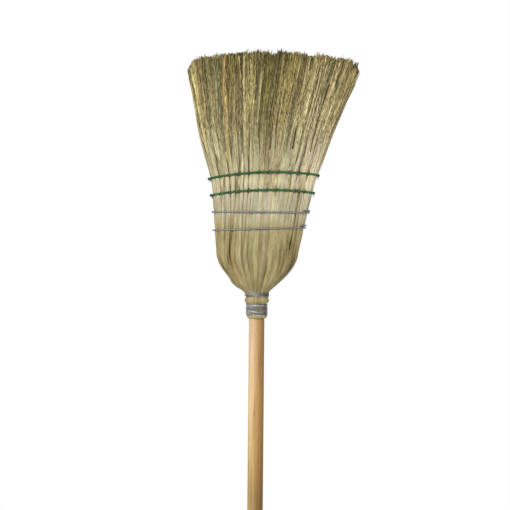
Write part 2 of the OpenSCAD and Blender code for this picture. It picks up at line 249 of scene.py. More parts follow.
class Bunch:
    """Round or oval tubes gathered into one mesh, each with its own tint and UV column."""

    def __init__(self):
        self.points, self.quads, self.fans = [], [], []
        self.tints, self.quad_uvs, self.fan_uvs = [], [], []
        self.size = 0
        self.strands = 0

    def add(self, paths, across, through, tints, sides, up=(0, 0, 1)):
        """paths (n, m, 3) with half widths (n, m) across and through the direction up."""
        n, m = paths.shape[:2]
        along = unit(np.gradient(paths, axis=1))
        side = unit(np.cross(along, np.broadcast_to(np.asarray(up, float), paths.shape)))
        out = np.cross(side, along)
        turn = 2 * np.pi * np.arange(sides) / sides
        ring = (paths[:, :, None]
                + (across[..., None] * np.cos(turn))[..., None] * side[:, :, None]
                + (through[..., None] * np.sin(turn))[..., None] * out[:, :, None])
        centres = np.concatenate([paths[:, 0], paths[:, -1]])
        index = self.size + np.arange(n * m * sides).reshape(n, m, sides)
        a, d = index[:, :-1], index[:, 1:]
        b, c = np.roll(a, -1, 2), np.roll(d, -1, 2)
        self.quads.append(np.stack([a, b, c, d], -1).reshape(-1, 4))
        roots = self.size + n * m * sides + np.arange(n)
        first, last = index[:, 0], index[:, -1]
        for one, other, root in ((np.roll(first, -1, 1), first, roots),
                                 (last, np.roll(last, -1, 1), roots + n)):
            root = np.broadcast_to(root[:, None], one.shape)
            self.fans.append(np.stack([one, other, root], -1).reshape(-1, 3))
        self.points += [ring.reshape(-1, 3), centres]
        self.tints += [np.repeat(tints[:, :, None], sides, 2).reshape(-1, 3),
                       np.concatenate([tints[:, 0], tints[:, -1]])]
        self.note_uvs(n, m, sides)
        self.size += n * m * sides + 2 * n
        self.strands += n

    def note_uvs(self, n, m, sides):
        """Strand number, share across the column and share along it, for each corner."""
        number = self.strands + np.arange(n)[:, None, None]
        k, j = np.arange(sides)[None, None, :], np.arange(m - 1)[None, :, None]
        low, high = j / (m - 1), (j + 1) / (m - 1)

        def corners(*places):
            return np.stack([np.stack(np.broadcast_arrays(number, side / sides, along), -1)
                             for side, along in places], -2).reshape(-1, 3)

        self.quad_uvs.append(corners((k, low), (k + 1, low), (k + 1, high), (k, high)))
        for end in (0, 1):
            self.fan_uvs.append(corners((k + 1, end), (k, end), (k + 0.5, end)))

    def build(self, name, material, node, slot):
        """The mesh as a piece that replaces a CAD node."""
        points = np.concatenate(self.points) * MM
        quads, fans = np.concatenate(self.quads), np.concatenate(self.fans)
        mesh = bpy.data.meshes.new(name)
        mesh.vertices.add(len(points))
        mesh.vertices.foreach_set("co", points.ravel())
        loops = np.concatenate([quads.ravel(), fans.ravel()])
        mesh.loops.add(len(loops))
        mesh.loops.foreach_set("vertex_index", loops.astype(np.int32))
        sizes = np.repeat([4, 3], [len(quads), len(fans)])
        mesh.polygons.add(len(sizes))
        mesh.polygons.foreach_set("loop_start", (np.cumsum(sizes) - sizes).astype(np.int32))
        mesh.polygons.foreach_set("use_smooth", sizes == 4)
        tint = mesh.attributes.new("tint", "FLOAT_COLOR", "POINT")
        rgba = np.concatenate([np.concatenate(self.tints), np.ones((len(points), 1))], 1)
        tint.data.foreach_set("color", rgba.ravel())
        self.lay_out_uvs(mesh)
        mesh.update(calc_edges=True)
        mesh.validate()
        mesh.materials.append(material)
        piece = add_object(name, mesh)
        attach(piece, "root")
        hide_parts(node)

    def lay_out_uvs(self, mesh):
        """Columns side by side in as many shelves as keep each column a few texels wide."""
        shelves = max(1, round(math.sqrt(self.strands / COLUMNS_TO_SHELVES)))
        columns = math.ceil(self.strands / shelves)
        uv = np.concatenate(self.quad_uvs + self.fan_uvs)
        shelf, column = uv[:, 0] // columns, uv[:, 0] % columns
        flat = np.stack([(column + mix(COLUMN_GAP, 1 - COLUMN_GAP, uv[:, 1])) / columns,
                         (shelf + mix(SHELF_GAP, 1 - SHELF_GAP, uv[:, 2])) / shelves], -1)
        layer = mesh.uv_layers.new(name="OFBake")
        layer.data.foreach_set("uv", flat.ravel())


# --- Colours and materials ---

# How far above the upper row the specks reach their full strength
SPECKS_H = 70


def linear(hex_colour):
    c = np.array([int(hex_colour[i:i + 2], 16) / 255 for i in (1, 3, 5)])
    return np.where(c <= 0.04045, c / 12.92, ((c + 0.055) / 1.055) ** 2.4)


# Colours of the corn, and out of a hundred strands how many are drawn from each
STALKS = {"#dfd7b9": 20, "#d7ceb1": 20, "#d3c9b2": 12, "#d3bfa8": 12, "#c9cca6": 12,
          "#dac98f": 10, "#c4bba6": 8, "#cdb98f": 6}
FIBRES = {"#e8dfba": 15, "#dbcfa2": 19, "#d1c492": 15, "#cfb998": 10, "#c9b078": 8,
          "#b5ae86": 10, "#9f9966": 8, "#8f7b50": 7, "#75602f": 5, "#bd9160": 3}


def corn_tints(palette, n, spread, shade=1.0, settling=(0, 0.4)):
    """A colour for each of n strands, some way to the palette's second, and of varied shade."""
    colours = np.array([linear(c) for c in palette])
    base = colours[rng.choice(len(palette), n, p=np.array(list(palette.values())) / 100)]
    base = mix(base, colours[1], rng.uniform(*settling, (n, 1)))
    return base * shade * np.exp(rng.normal(0, spread, (n, 1)))


def waves(n, m, reach, knots):
    """Smooth random values in (n, m), each row its own curve through a few knots."""
    values = rng.normal(0, reach, (n, knots + 3))
    t = np.linspace(0, knots, m)
    i = np.minimum(t.astype(int), knots - 1)
    f = t - i
    p0, p1, p2, p3 = (values[:, i + k] for k in range(4))
    return 0.5 * (2 * p1 + (p2 - p0) * f + (2 * p0 - 5 * p1 + 4 * p2 - p3) * f ** 2
                  + (3 * p1 - p0 - 3 * p2 + p3) * f ** 3)


def node_material(name):
    material = bpy.data.materials.new(name)
    material.use_nodes = True
    tree = material.node_tree
    return material, tree, tree.nodes["Principled BSDF"]


def set_inputs(node, **inputs):
    """Plain values of a node's inputs, with _ for each space in a name."""
    for key, value in inputs.items():
        node.inputs[key.replace("_", " ")].default_value = value
    return node


def add_node(tree, kind, **inputs):
    return set_inputs(tree.nodes.new(kind), **inputs)


def object_place(tree):
    return tree.nodes.new("ShaderNodeTexCoord").outputs["Object"]


def own_tint(tree):
    """The colour that each strand carries in its mesh, painted light and shade included."""
    node = tree.nodes.new("ShaderNodeAttribute")
    node.attribute_name = "tint"
    return node.outputs["Color"]


def stretched_noise(tree, scale, detail, rough=0.6):
    """Noise in object coordinates, with its own scale on each axis."""
    mapping = add_node(tree, "ShaderNodeMapping", Scale=scale)
    noise = add_node(tree, "ShaderNodeTexNoise", Scale=1.0, Detail=detail, Roughness=rough)
    tree.links.new(object_place(tree), mapping.inputs["Vector"])
    tree.links.new(mapping.outputs["Vector"], noise.inputs["Vector"])
    return noise.outputs["Fac"]


def place_factor(tree, axis, start, end, low, high):
    """A value that goes from low to high between two places on an axis."""
    place = tree.nodes.new("ShaderNodeSeparateXYZ")
    factor = add_node(tree, "ShaderNodeMapRange", From_Min=start * MM, From_Max=end * MM,
                      To_Min=low, To_Max=high)
    tree.links.new(object_place(tree), place.inputs["Vector"])
    tree.links.new(place.outputs[axis], factor.inputs["Value"])
    return factor.outputs["Result"]


def ramp(tree, source, *stops):
    """Colour by value: each stop is a value and its colour, linear or in hex."""
    node = tree.nodes.new("ShaderNodeValToRGB")
    elements = node.color_ramp.elements
    while len(elements) < len(stops):
        elements.new(0.5)
    for element, (place, colour) in zip(elements, stops):
        element.position = place
        element.color = (*(linear(colour) if isinstance(colour, str) else colour), 1)
    tree.links.new(source, node.inputs["Fac"])
    return node.outputs["Color"]


def multiply(tree, colour, by, factor=1.0):
    """A colour multiplied by another, wholly or by a factor that is a number or a socket."""
    node = tree.nodes.new("ShaderNodeMix")
    node.data_type = "RGBA"
    node.blend_type = "MULTIPLY"
    if isinstance(factor, bpy.types.NodeSocket):
        tree.links.new(factor, node.inputs["Factor"])
    else:
        node.inputs["Factor"].default_value = factor
    for key, source in (("A", colour), ("B", by)):
        tree.links.new(source, next(s for s in node.inputs if s.name == key and s.type == "RGBA"))
    return next(s for s in node.outputs if s.type == "RGBA")


def dress(tree, shader, colour, relief, strength, relief_mm=0.3, **values):
    """The colour, the relief and the plain values of a surface."""
    bump = add_node(tree, "ShaderNodeBump", Strength=strength, Distance=relief_mm * MM)
    tree.links.new(relief, bump.inputs["Height"])
    tree.links.new(bump.outputs["Normal"], shader.inputs["Normal"])
    tree.links.new(colour, shader.inputs["Base Color"])
    set_inputs(shader, **values)


def corn_material(name):
    """Dry stalk: its own tint, with olive patches, mottling, ribs, and specks on the fibres."""
    material, tree, shader = node_material(name)
    patches = stretched_noise(tree, (75, 75, 16), detail=3)
    olive = ramp(tree, patches, (0.36, (0.79, 0.78, 0.69)), (0.62, (1.06, 1.06, 1.05)))
    mottle = stretched_noise(tree, (260, 260, 55), detail=4)
    shades = ramp(tree, mottle, (0.3, (0.8, 0.76, 0.68)), (0.7, (1.1, 1.09, 1.05)))
    specks = stretched_noise(tree, (520, 520, 140), detail=3, rough=0.75)
    dots = ramp(tree, specks, (0.36, (0.44, 0.4, 0.3)), (0.49, (0.95, 0.95, 0.94)),
                (0.62, (1.32, 1.34, 1.36)))
    patchy = place_factor(tree, "Z", BAND_LOW_Z, ROW_LOW_Z, 1.0, 0.45)
    specked = place_factor(tree, "Z", ROW_HIGH_Z, ROW_HIGH_Z + SPECKS_H, 0.12, 1.0)
    colour = multiply(tree, own_tint(tree), olive, patchy)
    colour = multiply(tree, colour, shades)
    colour = multiply(tree, colour, dots, specked)
    ribs = stretched_noise(tree, (2600, 2600, 90), detail=3)
    dress(tree, shader, colour, ribs, 0.5, Roughness=0.6, Specular_IOR_Level=0.3)
    return material


# Colour of the handle by height in metres, then painted light and shade from left to right: lit on
# the left, shaded on the right
WOOD_BY_HEIGHT = ((0.0, "#b89466"), (0.4, "#bd9665"), (0.66, "#a38450"), (0.7, "#ad8851"),
                  (0.73, "#bb9359"), (0.78, "#caa56d"), (0.845, "#d5ae7c"), (0.96, "#d8b088"))
WOOD_LIGHT_AND_SHADE = ((0.1, (0.98, 1.15, 1.26)), (0.28, (0.93, 1.02, 1.05)), (0.48, (0.66, 0.62, 0.56)),
               (0.7, (0.55, 0.475, 0.27)), (1.0, (0.4, 0.33, 0.12)))
WOOD_WAVER = 0.3


def wood_material():
    """Varnished softwood dowel, with painted light and shade: paler on the lit left, darker on the
    shaded right; duller and browner towards the butt.
    """
    material, tree, shader = node_material("handle_wood")
    broad = stretched_noise(tree, (55, 55, 5), detail=4)
    grain = stretched_noise(tree, (300, 300, 9), detail=5, rough=0.65)
    pores = stretched_noise(tree, (1300, 1300, 55), detail=2, rough=0.5)
    base = ramp(tree, place_factor(tree, "Z", 0, 1 / MM, 0, 1), *WOOD_BY_HEIGHT)
    # Painted light and shade: by object X, wavered by noise, from lit on the left to shaded on the
    # right
    across = place_factor(tree, "X", -HANDLE_R, HANDLE_R, -WOOD_WAVER / 2, 1 - WOOD_WAVER / 2)
    side = tree.nodes.new("ShaderNodeMath")
    side.operation = "MULTIPLY_ADD"
    side.inputs[1].default_value = WOOD_WAVER
    tree.links.new(broad, side.inputs[0])
    tree.links.new(across, side.inputs[2])
    sides = ramp(tree, side.outputs["Value"], *WOOD_LIGHT_AND_SHADE)
    lines = ramp(tree, grain, (0.34, (0.66, 0.56, 0.42)), (0.46, (0.93, 0.91, 0.88)),
                 (0.66, (1.1, 1.11, 1.12)))
    flecks = ramp(tree, pores, (0.3, (0.6, 0.48, 0.36)), (0.36, (1, 1, 1)))
    colour = multiply(tree, base, sides)
    colour = multiply(tree, colour, lines, 0.9)
    colour = multiply(tree, colour, flecks, 0.7)
    dress(tree, shader, colour, grain, 0.25, Roughness=0.42, Coat_Weight=0.15, Coat_Roughness=0.3)
    return material


def patchy_material(name, scale, detail, colours, *relief, **values):
    """Fine patches of a few colours, in relief, with the piece's own tint over them."""
    material, tree, shader = node_material(name)
    patches = stretched_noise(tree, (scale, scale, scale), detail)
    colour = multiply(tree, ramp(tree, patches, *colours), own_tint(tree))
    dress(tree, shader, colour, patches, *relief, **values)
    return material


def galvanised_material():
    """Zinc-coated wire, dull, with lighter and darker patches."""
    zinc = ((0.3, "#757370"), (0.52, "#8e8c88"), (0.72, "#a6a49f"))
    return patchy_material("galvanised_wire", 320, 4, zinc, 0.2, 0.2, Metallic=0.4, Roughness=0.55)


def twine_material():
    """Green twine, uneven and fuzzy."""
    green = ((0.3, "#0b3314"), (0.55, "#1a5528"), (0.75, "#38763e"))
    return patchy_material("green_twine", 900, 3, green, 0.6, Roughness=0.8, Sheen_Weight=0.12)


def floor_material():
    material, _, shader = node_material("pale_floor")
    set_inputs(shader, Base_Color=(0.86, 0.86, 0.86, 1), Roughness=0.8)
    return material


# --- How the corn is pulled in, parted and shaded ---

def to_bound(share, bounds):
    """Signed share to the nearest of the bounds, and the middle between the two around it."""
    edges = np.concatenate([[bounds[-1] - 1], bounds, [bounds[0] + 1]])
    place = np.searchsorted(edges, np.mod(share, 1))
    low, high = edges[place - 1], edges[place]
    below, above = np.mod(share, 1) - low, np.mod(share, 1) - high
    return np.where(below < -above, below, above), (low + high) / 2


def signed_share(share):
    """The same share counted from -0.5 to 0.5."""
    return np.mod(share + 0.5, 1) - 0.5


# Slow sideways bends of the corn: how many around the head, phase, height and reach
SWAYS = ((5, 0.4, 62, 1.3), (9, 2.1, 47, 0.8), (15, 4.0, 80, 0.5), (23, 1.1, 36, 0.3))

# At a stitch the corn sinks, is pushed aside and is drawn darker, a painted shade: how much, and
# how far to the sides. Each row is a height, and how far up and down from it that reaches.
PINCH_MM, PINCH_WIDE = 1.7, 2.4
PUSH_MM, PUSH_WIDE = 0.7, 3
PINCH_PAINTED_SHADE, PINCH_SHADE_WIDE = 0.66, 1.9
PINCHED_ROWS = ((ROW_LOW_Z, 8), (ROW_HIGH_Z, 9))
PINCH_SHADE_ROWS = ((ROW_LOW_Z + 2, 11), (ROW_HIGH_Z + 6, 17))

# How deep twine and wire press in, and how far up and down from them
TWINE_PRESS, TWINE_PRESS_H = 0.9, 3
WIRE_PRESS, WIRE_PRESS_H = 0.7, 3.5


def settle(share, depth, z, home):
    """Where wire, twine and stitches pull the corn: share and depth after they are tight."""
    length = girth(z)
    bound_away = to_bound(home, BOUNDS)[0][:, None]
    for around_head, phase, tall, reach in SWAYS:
        wave = np.sin(2 * np.pi * around_head * share + phase + z / tall)
        share = share + reach * wave * ease(NECK_TOP_Z, SHOULDER_Z, z) / length
    away = bound_away * length
    for row, near in PINCHED_ROWS:
        level = bell(z - row, near)
        share = share + np.sign(away) * PUSH_MM * bell(away, PUSH_WIDE) * level / length
        depth = depth + PINCH_MM * bell(away, PINCH_WIDE) * level
        depth = depth + TWINE_PRESS * bell(z - row, TWINE_PRESS_H)
    for band in (BAND_LOW_Z, BAND_HIGH_Z):
        depth = depth + WIRE_PRESS * bell(z - band, WIRE_PRESS_H)
    return share, depth


# Clusters of fibres: their share of the outline, how far their bounds stray and how they gather,
# then the valleys between: depth, painted shade, half width and heights
CLUSTER_SHARE, CLUSTER_STRAY, CLUSTER_PULL = 0.022, 0.22, 0.12
VALLEY_MM, VALLEY_PAINTED_SHADE = 2.6, 0.8
VALLEY_WIDE, VALLEY_TIP_WIDE = 1.3, 2.7
VALLEY_OPENS = (ROW_HIGH_Z - 4, ROW_HIGH_Z + 40)
LEAST_LIT = 0.12
ROUNDING = 1e-6


def split_bundles():
    """Bounds of the clusters: each bundle parts into two or more."""
    edges = np.append(BOUNDS, BOUNDS[0] + 1)
    bounds = list(BOUNDS)
    for low, high in zip(edges, edges[1:]):
        parts = max(2, round((high - low) / CLUSTER_SHARE))
        strays = rng.uniform(-CLUSTER_STRAY, CLUSTER_STRAY, parts - 1)
        bounds += list(np.mod(mix(low, high, (np.arange(1, parts) + strays) / parts), 1))
    return np.array(sorted(bounds))


CLUSTERS = split_bundles()
VALLEY_STRENGTHS = 0.45 + rng.random(len(CLUSTERS)) ** 1.5
CLUSTER_TINTS = corn_tints(FIBRES, len(CLUSTERS), 0.26, settling=(0, 0.25))


def cluster(share, depth, z, home):
    """Fibres gather in clusters above the stitches: share, depth, and how lit they are, with
    painted shade in the valleys between.
    """
    away, middle = (value[:, None] for value in to_bound(home, CLUSTERS))
    bound = np.mod(home[:, None] - away, 1) - ROUNDING
    strength = VALLEY_STRENGTHS[np.searchsorted(CLUSTERS, bound) % len(CLUSTERS)]
    opened = ease(*VALLEY_OPENS, z)
    wide = mix(VALLEY_WIDE, VALLEY_TIP_WIDE, ease(ROW_HIGH_Z, TIP_Z, z))
    valley = bell(away * girth(z), wide) * opened * strength
    share = share + signed_share(middle - share) * CLUSTER_PULL * opened
    return share, depth + VALLEY_MM * valley, np.maximum(1 - VALLEY_PAINTED_SHADE * valley, LEAST_LIT)


# Streaks of colour on the front of the flare: offset from the middle, and colour
STREAKS = ((-0.82, "#b5b592"), (-0.67, "#aeae88"), (-0.56, "#c9a873"), (-0.3, "#e9dbab"),
           (-0.03, "#b0a44c"), (0.06, "#7d7044"), (0.25, "#cfba6c"), (0.36, "#80683d"),
           (0.5, "#efe2b5"))
STREAK_MIX = 0.65

# Notches through the tips, front to back: offset from the middle, and depth
NOTCHES = ((0.0, 7), (0.4, 6), (0.71, 7.5), (0.95, 6))

# Reach of a notch or streak to each side, in share of the outline
NEAR_SHARE = 0.01


def near_offset(share, u):
    """How near a share is to an offset from the middle of the front, from 0 to 1."""
    return bell(signed_share(share - share_at(u, TIP_Z)), NEAR_SHARE)


def notched(share):
    """How much lower the tips are at a share of the front, in the notches."""
    return sum(notch * near_offset(share, u) for u, notch in NOTCHES)


def streaked(share, tints):
    """Tints of fibres, drawn towards the colour of the streak they stand in."""
    for u, colour in STREAKS:
        tints = mix(tints, linear(colour), STREAK_MIX * near_offset(share, u)[:, None])
    return tints


# Creases on the front of the shoulder: offset from the middle, height, half width, half height and
# strength; stalks sink in a crease and are drawn darker there, a painted shade. Small ones anywhere
# around: number, and the ranges of the same.
CREASES = ((-0.69, 112, 2.6, 30, 1.05), (0.79, 119, 2.4, 14, 1.3), (-0.84, 130, 2.0, 20, 0.6),
           (-0.6, 88, 2.0, 18, 0.7), (0.7, 92, 2.2, 20, 0.7), (-0.4, 84, 2.6, 20, 0.6),
           (0.42, 88, 2.4, 22, 0.65), (0.05, 118, 2.6, 14, 0.45), (-0.12, 66, 1.8, 12, 0.5),
           (0.95, 82, 5.5, 24, 0.95), (-0.95, 78, 5.0, 20, 0.8), (-0.25, 110, 2.2, 22, 0.45),
           (0.6, 100, 2.2, 20, 0.5), (0.28, 72, 1.8, 14, 0.5), (-0.55, 72, 2.2, 12, 0.5))
SMALL_CREASES = ((90, (206, 266), (0.8, 1.5), (9, 24), (0.4, 1.05)),
                 (60, (70, 150), (0.9, 2.2), (10, 26), (0.2, 0.6)),
                 (26, (150, 205), (0.8, 1.4), (8, 20), (0.1, 0.35)))
CREASE_PUSH_MM, CREASE_PUSH_WIDE = 1.5, 1.6
CREASE_MM, CREASE_PAINTED_SHADE = 1.8, 0.75

ALL_CREASES = np.concatenate(
    [[(share_at(u, FOOT_Z + height), height, *rest) for u, height, *rest in CREASES]]
    + [np.stack([rng.uniform(*span, count) for span in ((0, 1), *spans)], -1)
       for count, *spans in SMALL_CREASES])


def creased(share, depth, z):
    """Stalks part and sink at each crease; also how lit they are there, a painted shade in the
    crease.
    """
    dark = np.zeros(share.shape)
    for place, height, wide, tall, strength in ALL_CREASES:
        away = signed_share(share - place) * girth(z)
        level = strength * bell(z - FOOT_Z - height, tall)
        push = np.tanh(away) * CREASE_PUSH_MM * bell(away, wide * CREASE_PUSH_WIDE)
        share = share + push * level / girth(z)
        depth = depth + CREASE_MM * bell(away, wide) * level
        dark = np.maximum(dark, bell(away, wide) * level)
    return share, depth, np.maximum(1 - CREASE_PAINTED_SHADE * dark, LEAST_LIT)


# Shade by height above the foot, then red, green and blue shades by share of the outline
ZONES = ((0, 0.74), (26, 0.52), (38, 0.45), (47, 0.38), (60, 0.475), (100, 0.445), (134, 0.46),
         (158, 0.6), (190, 0.6), (222, 0.8), (237, 0.74), (297, 0.62), (438, 0.56))
ACROSS = (0, 0.1, 0.2, 0.3, 0.42, 0.5, 0.6, 1)
ACROSS_SHADES = ((0.92, 0.9, 0.79, 0.77, 1.15, 1.22, 0.94, 0.92),
                 (0.94, 0.92, 0.79, 0.76, 1.14, 1.22, 0.94, 0.94),
                 (0.84, 0.82, 0.67, 0.64, 1.15, 1.23, 0.86, 0.84))
ACROSS_BEGINS = (ROW_LOW_Z - 20, ROW_HIGH_Z + 35)
SHOULDER_TONE = np.array([1.05, 0.965, 0.71])
SHOULDER_ENDS = (BAND_LOW_Z - 10, BAND_HIGH_Z)
TIP_TONE, TIP_TONE_H = np.array([0.82, 0.805, 0.71]), 70
WARM_POWERS = np.array([0.9, 1.0, 1.4])


def zone_shade(share, z):
    """Corn is duller on the shoulder, palest where it is stitched, darker mid-flare."""
    share = np.mod(share, 1)
    across = np.stack([np.interp(share, ACROSS, shades) for shades in ACROSS_SHADES], -1)
    shade = np.interp(z - FOOT_Z, *zip(*ZONES))[..., None]
    shade = shade * mix(1, across, ease(*ACROSS_BEGINS, z)[..., None])
    return shade * mix(SHOULDER_TONE, 1, ease(*SHOULDER_ENDS, z)[..., None])


def warm(lit):
    """Shade of corn that is only partly lit: the light left between stalks is warmer."""
    return lit[..., None] ** WARM_POWERS


def pinch_shade(share, z):
    """Painted shade: corn is drawn darker where the stitches pull it in, and for a way above them.
    """
    away = to_bound(share, BOUNDS)[0] * girth(z)
    level = np.max([bell(z - row, near) for row, near in PINCH_SHADE_ROWS], axis=0)
    return warm(1 - PINCH_PAINTED_SHADE * bell(away, PINCH_SHADE_WIDE) * level)


def strand_tints(base, share, z, mottling, tip_z=None, knots=7):
    """Tint along each strand: mottled, by zone, with painted shade at the stitches, and browner at
    its tip.
    """
    n, m = z.shape
    shade = np.exp(waves(n, m, mottling, knots))[..., None] * pinch_shade(share, z)
    tint = base[:, None] * shade * zone_shade(share, z)
    if tip_z is not None:
        near_tip = np.clip(1 - (tip_z[:, None] - z) / TIP_TONE_H, 0, 1)[..., None]
        tint = tint * mix(1, TIP_TONE, near_tip)
    return tint


# --- Stalks ---

# Heights of a stalk's points: from, to and how many, closer where it bends
STALK_LEVELS = np.concatenate([np.linspace(*span) for span in (
    (FOOT_Z, LOWER_WINDING_TOP_Z, 4), (FOOT_Z + 24, COLLAR_Z, 6), (FOOT_Z + 39, SHOULDER_Z, 12),
    (SHOULDER_Z + 9, BAND_LOW_Z - 6, 4), (BAND_LOW_Z - 3, BAND_HIGH_Z + 4, 8),
    (BAND_HIGH_Z + 12, TIP_Z, 26))])

# Layers of stalks, the outer one first: how many, how much of its room each covers and how deep it
# lies, both by height, then phase, a painted shade that makes deeper layers darker, fibres in a
# clump and how deep those sink
LAYER_Z = (FOOT_Z, NECK_TOP_Z, SHOULDER_Z, BAND_HIGH_Z, ROW_HIGH_Z, TIP_Z)
LAYERS = (
    (64, (1.3, 1.3, 1.25, 1.25, 1.1, 0.7), (0, 0, 0, 0, 0, 0), 0.0, 1.0, 6, 3.0),
    (66, (1.2, 1.2, 1.3, 1.3, 1.2, 0.8), (0.6, 0.6, 0.45, 0.25, 0.25, 0.6), 0.5, 0.97, 5, 4.0),
    (60, (1.0, 1.1, 1.35, 1.35, 1.2, 0.8), (1.2, 1.4, 1.2, 0.7, 0.8, 2.4), 0.2, 0.88, 5, 5.0))

# How far stalks stray from their place, where they end and taper, and their section
STALK_STRAY = 0.38
STALK_ENDS = (ROW_HIGH_Z + 5, ROW_HIGH_Z + 90)
STALK_TAPERS, STALK_TIP = (ROW_HIGH_Z - 12, ROW_HIGH_Z + 60), 0.25
STALK_FLAT, STALK_CORE = 0.3, 0.2
STUB_MM, STUB_H = 1.6, 3


class Stems:
    """A ring of stalks: where each sits around the head, how wide and how deep it is."""

    def __init__(self, count, cover, depth, phase, shade, per_clump, deep):
        self.count, self.cover, self.depth = count, cover, depth
        self.per_clump, self.deep = per_clump, deep
        strays = rng.uniform(-STALK_STRAY, STALK_STRAY, count)
        share = (np.arange(count) + phase + strays) / count
        ahead = np.mod(np.roll(share, -1) - share, 1)
        uneven = np.exp(rng.normal(0, 0.06, count))
        self.width = np.maximum(ahead, np.roll(ahead, 1)) * count * uneven
        self.share = np.mod(share, 1)
        self.tints = corn_tints(STALKS, count, 0.07, shade, (0.1, 0.65))
        self.end_z = rng.uniform(*STALK_ENDS, count)
        self.sink = np.abs(rng.normal(0, 0.2, count))
        self.stub = rng.uniform(-0.2, 1, count) * STUB_MM

    def paths(self):
        """Height, share, depth, half widths and how lit each stalk is, along it."""
        base = STALK_LEVELS
        scale = (self.end_z - ROW_LOW_Z) / (TIP_Z - ROW_LOW_Z)
        z = np.where(base > ROW_LOW_Z, ROW_LOW_Z + (base - ROW_LOW_Z) * scale[:, None], base)
        z = z + self.stub[:, None] * (1 - ease(FOOT_Z, FOOT_Z + STUB_H, base))
        cover = np.interp(z, LAYER_Z, self.cover) * self.width[:, None]
        taper = mix(1, STALK_TIP, ease(*STALK_TAPERS, z))
        across = 0.5 * girth(z) / self.count * cover * taper
        across = across * (1 + waves(self.count, z.shape[1], 0.08, 6))
        through = across * STALK_FLAT + STALK_CORE
        loose = ease(NECK_TOP_Z, SHOULDER_Z, z)
        depth = np.interp(z, LAYER_Z, self.depth) + through + self.sink[:, None] * loose
        share = self.share[:, None] + waves(self.count, z.shape[1], 0.7, 5) * loose / girth(z)
        share, depth = settle(share, depth, z, self.share)
        share, depth, lit = creased(share, depth, z)
        return z, share, depth, across, through, lit


def bundle_of(share):
    return np.searchsorted(BOUNDS, np.mod(share, 1))


def add_by_bundle(bunches, bundle, place, across, through, tints, sides, least_depth):
    """Strands at their share, depth and height, each in the piece of its bundle."""
    share, depth, z = place
    paths, depth = on_head(*place), np.maximum(depth, least_depth)
    ups = on_head(share, depth - 0.5, z) - on_head(share, depth + 0.5, z)
    for i, node in enumerate(BUNDLE_NODES):
        own = bundle == i
        if own.any():
            bunches[node].add(paths[own], across[own], through[own], tints[own], sides, ups[own])


# --- Fibres ---

FIBRE_RADII = np.array([0.38, 0.46, 0.55, 0.66, 0.82])
FIBRE_SWELL = (1.2, 0.75)
FIBRE_LEVELS = 20
CLUMPS = 4
BUNDLE_CUTS = rng.normal(0, 1.6, len(BUNDLE_NODES))

# Where clumps leave their stalk, where fibres leave a clump, and how much lower they are cut
CLUMP_STARTS = (ROW_LOW_Z - 12, ROW_HIGH_Z + 12)
FIBRE_STARTS = (-4, 8)
CUT_BELOW = 6

# Some clumps and fibres end early: by how much on average, and the odds
SHORT_CLUMPS = (9, 0.2)
SHORT_FIBRES = (10, 0.3)

# How far fibres stray sideways at their tips with the odds of each, and how far clumps do
STRAYS, STRAY_ODDS = (0.7, 1.6, 3.6), (0.74, 0.17, 0.09)
FAN_MM = 0.8

# Height over which fibres turn from the colour of straw to their own, how far they stand off
# the head at most, and the least depth at which their sides are found
TURN_H, LOOSEST_MM, LEAST_DEPTH = 170, 2.5, 0.6


def broken_off(count, mean, odds):
    """How much shorter each of count strands is: most are whole, some end early."""
    return rng.exponential(mean, count) * (rng.random(count) < odds)


class Clumps:
    """Clumps of fibres that leave the stalks of a layer above the wires."""

    def __init__(self, layer):
        self.count = layer.count * CLUMPS
        self.stem = np.repeat(np.arange(layer.count), CLUMPS)
        places = np.tile(np.arange(CLUMPS), layer.count) + rng.uniform(0.1, 0.9, self.count)
        self.share = (places / CLUMPS - 0.5) * layer.width[self.stem] / layer.count
        self.sink = np.abs(rng.normal(0, layer.deep * 0.6, self.count))
        self.start_z = rng.uniform(*CLUMP_STARTS, self.count)
        cut = rng.normal(0, 2.8, self.count) - broken_off(self.count, *SHORT_CLUMPS)
        home = np.mod(layer.share[self.stem] + self.share, 1)
        self.cut = cut - notched(np.minimum(home, 1 - home))
        self.wave = waves(self.count, FIBRE_LEVELS, 1.2, 4)
        self.deep_wave = waves(self.count, FIBRE_LEVELS, 0.9, 4)
        tints = corn_tints(FIBRES, self.count, 0.42)
        group = np.searchsorted(CLUSTERS, home) % len(CLUSTERS)
        self.tints = streaked(home, mix(CLUSTER_TINTS[group], tints, 0.5))
        self.straw = layer.tints[self.stem] * np.exp(rng.normal(-0.06, 0.2, (self.count, 1)))


